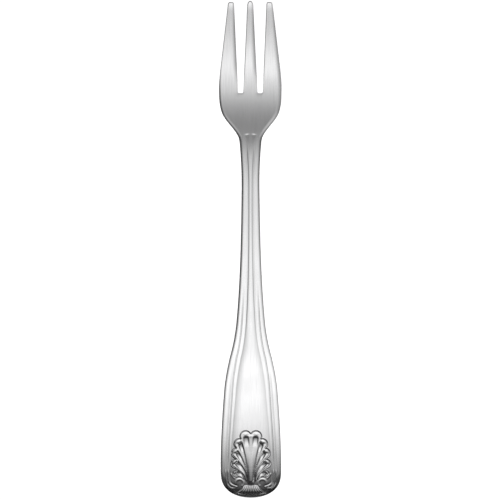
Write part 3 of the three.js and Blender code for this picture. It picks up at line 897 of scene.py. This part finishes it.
# %% Rolled edges
handle_rolls = [
    (ledge_at, 1.1), (neck_at + 4, 0.9), (fork_length - 8, 0.9), (fork_length - 4, 2.0), (fork_length, 2.2),
]
left_roll = curve_through([(0, 0.35), (2, 0.45), (tine_length - 8, 0.5), (tine_length, 0.8), *handle_rolls])
right_roll = curve_through([(0, 0.4), (2, 0.8), (9, 1.25), (18, 1.7), (tine_length, 1.5), *handle_rolls])
neck_drops = [(ledge_at, 0.34), (neck_at + 4, 0.24)]
end_drops = [(fork_length - 4, 0.36), (fork_length, 0.06)]
left_drop = curve_through([
    (0, 0.1), (2, 0.07), (tine_length - 8, 0.07), (tine_length, 0.18), *neck_drops,
    (flare_at, 0.22), (shoulder_at, 0.18), (fork_length - 8, 0.18), *end_drops,
])
right_drop = curve_through([
    (0, 0.1), (2, 0.11), (9, 0.22), (18, 0.28), (tine_length, 0.24), *neck_drops,
    (flare_at, 0.17), (shoulder_at, 0.15), (fork_length - 8, 0.16), *end_drops,
])
slot_crispness, slot_crisp_from = 0.85, (tine_length - 9, tine_length - 2)
corner_drop, corner_drop_side, corner_drop_from = 0.06, (3.8, 6.2), (fork_length - 4, fork_length - 2.4)
end_power, end_power_from = 1.6, (fork_length - 9, fork_length - 4)

roll = np.where(right_edge, right_roll(face_at), left_roll(face_at))
drop = np.where(right_edge, right_drop(face_at), left_drop(face_at))
drop = drop * (1 - slot_crispness * slot_edge * ramp(edge_at, *slot_crisp_from))
in_corner = ramp(np.abs(face_places[:, 0]), *corner_drop_side) * ramp(face_at, *corner_drop_from)
drop = drop + corner_drop * in_corner
power = roll_power + (end_power - roll_power) * ramp(face_at, *end_power_from)
print(f"edges roll over {roll.min():.2f} to {roll.max():.2f} mm and drop up to {drop.max():.2f} mm")

# %% Heights of the face
relief_margin = 0.9


def face_height_at(at):
    return np.interp(at, line_at, line_height)


ornament_height, painted_shade = ornament(face_places[:, 0], face_at)
relief = thread_relief(face_places[:, 0], face_at) + ornament_height
settle = np.clip(face_inset / relief_margin, 0, 1)
face_places[:, 2] = face_height_at(face_at) + relief * settle - roll_off(face_inset, roll, drop, power)
blank.data.vertices.foreach_set("co", face_places.ravel())
# The mask of painted shade is stored on the face as a point attribute, for the colour of the steel.
blank.data.attributes.new("painted_shade", "FLOAT", "POINT").data.foreach_set("value", painted_shade)
print(f"face from {face_places[:, 2].min():.2f} to {face_places[:, 2].max():.2f} mm high")

# %% Heights of the back
back_places = plan_of(back)
back_inset = np.array([edge_tree.find(place)[2] for place in back_places])
back_at = at_y(back_places[:, 1])
back_lift = roll_off(back_inset, back_roll, back_drop)
back_places[:, 2] = np.maximum(0, face_height_at(back_at) - thickness(back_at) + back_lift)
back.data.vertices.foreach_set("co", back_places.ravel())
print(f"back from {back_places[:, 2].min():.2f} to {back_places[:, 2].max():.2f} mm high")

# %% Join face and back
rim_cuts = 2
bpy.ops.object.select_all(action="DESELECT")
back.select_set(True)
blank.select_set(True)
bpy.context.view_layer.objects.active = blank
bpy.ops.object.join()
fork = bpy.context.object
bpy.ops.object.mode_set(mode="EDIT")
bpy.ops.mesh.select_mode(type="EDGE")
bpy.ops.mesh.select_all(action="DESELECT")
bpy.ops.mesh.select_non_manifold(
    extend=False, use_wire=False, use_multi_face=False, use_non_contiguous=False, use_verts=False
)
bpy.ops.mesh.mark_sharp()
bpy.ops.mesh.bridge_edge_loops(number_cuts=rim_cuts)
bpy.ops.mesh.select_all(action="SELECT")
bpy.ops.mesh.normals_make_consistent(inside=False)
bpy.ops.object.mode_set(mode="OBJECT")
fork.data.transform(Matrix.Scale(MM, 4))
bpy.ops.object.shade_smooth()
edge_keys = [key for face in fork.data.polygons for key in face.edge_keys]
edge_uses = np.unique(edge_keys, axis=0, return_counts=True)[1]
open_edges = int((edge_uses != 2).sum())
triangles = sum(len(face.vertices) - 2 for face in fork.data.polygons)
print(f"fork: {triangles} triangles, {open_edges} open edges")

# %% [markdown]
# ## Polished steel
# The blank is polished lengthwise on a soft wheel, so the mirror has a very fine grain along the fork, a few
# fine scratches from use and faint cloudy patches. The tines are a little greyer than the handle. The floors
# of the coined lines get painted shade, a darker base colour that stands in for the shade and dark
# reflections in them. In the shader the grain is a noise stretched along the fork, the patches are a broad
# noise in the roughness, and the painted shade follows a mask that was stored as an attribute while the face
# was struck.

# %% Start of the steel


def add_node(tree, kind, inputs, **settings):
    node = tree.nodes.new("ShaderNode" + kind)
    for name, value in settings.items():
        setattr(node, name, value)
    for name, value in inputs.items():
        if isinstance(value, bpy.types.NodeSocket):
            tree.links.new(value, node.inputs[name])
        else:
            node.inputs[name].default_value = value
    return node


steel = bpy.data.materials.new("polished_steel")
steel.use_nodes = True
tree = steel.node_tree
place = add_node(tree, "TexCoord", {}).outputs["Object"]
print("polished steel starts with the nodes", [node.name for node in tree.nodes])

# %% Tone of the handle and the tines
handle_tone = (0.93, 0.93, 0.935, 1)
tine_tone = (0.795, 0.795, 0.8, 1)
greyer_from, greyest_from = 40, 20


def remap(tree, value, start, end, low, high):
    sockets = {"Value": value, "From Min": start, "From Max": end, "To Min": low, "To Max": high}
    return add_node(tree, "MapRange", sockets, interpolation_type="SMOOTHSTEP").outputs["Result"]


def mix_colours(tree, share, first, second, blend="MIX"):
    sockets = {"Factor": share, "A": first, "B": second}
    return add_node(tree, "Mix", sockets, data_type="RGBA", blend_type=blend).outputs["Result"]


along = add_node(tree, "SeparateXYZ", {"Vector": place}).outputs["Y"]
tine_share = remap(tree, along, y_at(greyer_from) * MM, y_at(greyest_from) * MM, 0.0, 1.0)
tone = mix_colours(tree, tine_share, handle_tone, tine_tone)
print(f"tone: {handle_tone[0]} on the handle, {tine_tone[0]} on the tines")

# %% Grain and painted shade in the recesses
grain_scale, grain_range, grain_tones = (5000, 160, 160), (0.3, 0.7), (0.94, 1.0)
# The dark grey of the painted shade in the coined lines, and the most of it that is mixed into the colour.
painted_shade_tone = (0.16, 0.16, 0.165, 1)
painted_shade_most = 0.9


def stretched_noise(tree, place, scale, turn, detail):
    moved = add_node(tree, "Mapping", {"Vector": place, "Scale": scale, "Rotation": (0, 0, turn)})
    noise = {"Vector": moved.outputs["Vector"], "Scale": 1.0, "Detail": detail}
    return add_node(tree, "TexNoise", noise).outputs["Fac"]


grain_noise = stretched_noise(tree, place, grain_scale, turn=0.0, detail=3.0)
grain = remap(tree, grain_noise, *grain_range, *grain_tones)
grained = mix_colours(tree, 1.0, tone, grain, blend="MULTIPLY")
# Painted shade: the stored mask darkens the base colour in the coined lines, eyes, outlines and ground of
# the ornament, standing in for shade and dark reflections.
painted_shade_share = add_node(tree, "Attribute", {}, attribute_name="painted_shade").outputs["Fac"]
shaded_tone = mix_colours(tree, remap(tree, painted_shade_share, 0.0, 1.0, 0.0, painted_shade_most), grained, painted_shade_tone)
shader = tree.nodes["Principled BSDF"]
shader.inputs["Metallic"].default_value = 1.0
tree.links.new(shaded_tone, shader.inputs["Base Color"])
print(f"grain: tones from {grain_tones[0]} to {grain_tones[1]}; tone in the recesses: {painted_shade_tone[0]}")

# %% Scratches and patches
scratch_scale, scratch_turn = (3000, 90, 90), 0.2
scratch_range, scratch_rough = (0.62, 0.74), (0.0, 0.07)
patch_scale = (120, 120, 120)
patch_range, patch_rough = (0.35, 0.65), (0.15, 0.2)


def work_out(tree, operation, *values):
    return add_node(tree, "Math", dict(enumerate(values)), operation=operation).outputs["Value"]


scratch_noise = stretched_noise(tree, place, scratch_scale, scratch_turn, detail=2.0)
scratches = remap(tree, scratch_noise, *scratch_range, *scratch_rough)
patch_noise = stretched_noise(tree, place, patch_scale, turn=0.0, detail=2.0)
patches = remap(tree, patch_noise, *patch_range, *patch_rough)
tree.links.new(work_out(tree, "ADD", patches, scratches), shader.inputs["Roughness"])
fork.data.materials.clear()
fork.data.materials.append(steel)
print(f"polished steel: {len(tree.nodes)} nodes")

# %% [markdown]
# ## Floor
# A small polished thing is shot on white card that is lit on its own, so that the card stays white while the
# lamps are set for the metal. Here the card glows a little, only for rays that the camera sees directly or
# in the steel, and still takes the shadow of the fork.

# %% White card
card_size = 12
card_drop = 0.05 * MM
card_glow = 0.86
paper_white = (0.8, 0.8, 0.8, 1)
bpy.ops.object.select_all(action="DESELECT")
bpy.ops.mesh.primitive_plane_add(size=card_size, location=(0, 0, -card_drop))
floor = bpy.context.object
floor.name = "floor"
card = bpy.data.materials.new("white_card")
card.use_nodes = True
tree = card.node_tree
tree.nodes.clear()
ray = add_node(tree, "LightPath", {}).outputs
seen = work_out(tree, "MAXIMUM", ray["Is Camera Ray"], ray["Is Glossy Ray"])
seen = work_out(tree, "MAXIMUM", seen, ray["Is Transmission Ray"])
light = add_node(tree, "Emission", {"Strength": work_out(tree, "MULTIPLY", seen, card_glow)})
paper = add_node(tree, "BsdfDiffuse", {"Color": paper_white})
both = add_node(tree, "AddShader", {0: paper.outputs["BSDF"], 1: light.outputs["Emission"]})
add_node(tree, "OutputMaterial", {"Surface": both.outputs["Shader"]})
floor.data.materials.append(card)
print(f"floor: a white card {card_size} m wide")

# %% [markdown]
# ## Studio light
# Steel shows its surroundings, so the light is one large soft box overhead, a little toward the handle, that
# fades out on all sides. Metal that faces straight up shows the middle of the box and is nearly white; metal
# that turns away shows the dim room and is grey, and close to the table it shows the pale surroundings. Two
# white cards stand low at opposite corners, which keeps the steel bright for someone who looks at it from
# the side. All of it is drawn in the world by the direction of the ray, since no lamp has such soft edges.

# %% Soft box overhead
box_lean = -0.115
box_light = 1.18
reach_left, reach_right = 0.4, 0.52
reach_back, reach_front = 0.3, 0.42
world = bpy.data.worlds.new("studio")
bpy.context.scene.world = world
world.use_nodes = True
tree = world.node_tree
tree.nodes.clear()


def distance_share(value, low, high):
    below = work_out(tree, "MULTIPLY", work_out(tree, "MINIMUM", value, 0.0), 1 / low)
    above = work_out(tree, "MULTIPLY", work_out(tree, "MAXIMUM", value, 0.0), 1 / high)
    return work_out(tree, "POWER", work_out(tree, "SUBTRACT", above, below), 2.0)


direction = add_node(tree, "TexCoord", {}).outputs["Generated"]
across, along, up = add_node(tree, "SeparateXYZ", {"Vector": direction}).outputs
far_across = distance_share(across, reach_left, reach_right)
far_along = distance_share(work_out(tree, "SUBTRACT", along, box_lean), reach_back, reach_front)
far = work_out(tree, "MULTIPLY", work_out(tree, "ADD", far_across, far_along), -1.0)
box = work_out(tree, "MULTIPLY", work_out(tree, "EXPONENT", far), box_light)
print(f"soft box: strength {box_light} in the middle")

# %% Room and low cards
room_light = 0.03
low_light = 0.95
card_light = 0.55
horizon_rises = (0.04, 0.14)


def low_card(right, front, side_fade, top_fade):
    toward_right = work_out(tree, "MULTIPLY", across, right)
    toward = work_out(tree, "ADD", toward_right, work_out(tree, "MULTIPLY", along, front))
    in_side = remap(tree, toward, *side_fade, 0.0, card_light)
    return work_out(tree, "MULTIPLY", in_side, remap(tree, up, *top_fade, 1.0, 0.0))


front_card = low_card(right=-0.45, front=0.89, side_fade=(0.45, 0.75), top_fade=(0.42, 0.58))
back_card = low_card(right=0.71, front=-0.71, side_fade=(0.8, 0.95), top_fade=(0.3, 0.45))
horizon = remap(tree, up, *horizon_rises, low_light, room_light)
room = work_out(tree, "MAXIMUM", horizon, work_out(tree, "MAXIMUM", front_card, back_card))
strength = work_out(tree, "ADD", box, room)
background = add_node(tree, "Background", {"Color": (1, 1, 1, 1), "Strength": strength})
add_node(tree, "OutputWorld", {"Surface": background.outputs["Background"]})
print(f"room {room_light}, low cards {card_light}, close to the table {low_light}")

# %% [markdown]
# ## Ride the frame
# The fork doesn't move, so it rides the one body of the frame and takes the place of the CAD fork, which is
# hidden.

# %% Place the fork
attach(fork, "root")
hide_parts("fork")
